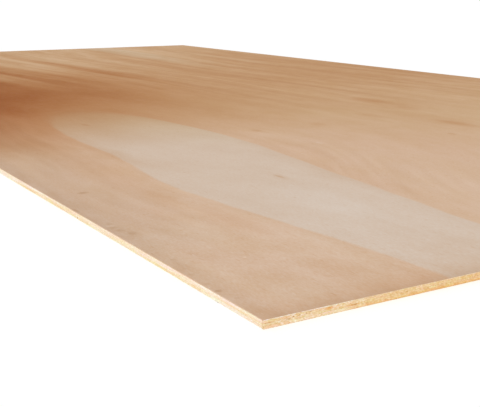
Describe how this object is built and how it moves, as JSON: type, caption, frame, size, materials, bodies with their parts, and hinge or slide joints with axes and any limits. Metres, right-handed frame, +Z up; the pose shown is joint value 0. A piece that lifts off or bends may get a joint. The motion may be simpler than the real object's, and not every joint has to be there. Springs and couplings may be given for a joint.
{
  "type": "plywood sheet",
  "caption": "Flat rectangular plywood sheet of cross-laid glued veneers, good face up, with square sawn edges that show the plies.",
  "frame": {"origin": "middle of the underside, on the floor the sheet lies on", "axes": "+X along the length and the face grain, +Y along the width, +Z up out of the good face"},
  "size_m": [2.44, 1.22, 0.006],
  "materials": {
    "face_veneer": "dry sanded rotary-cut hardwood, pale pinkish tan with a paler sapwood band, unfinished",
    "crossband": "dry sawn veneer edge, light orange tan, unfinished",
    "centre_ply": "dry sawn veneer edge, light pinkish tan, unfinished",
    "back_veneer": "dry sanded rotary-cut hardwood, plain pale tan, unfinished"
  },
  "bodies": {
    "root": {"face_veneer": "face_veneer", "upper_crossband": "crossband", "centre_ply": "centre_ply", "lower_crossband": "crossband", "back_veneer": "back_veneer"}
  },
  "joints": []
}
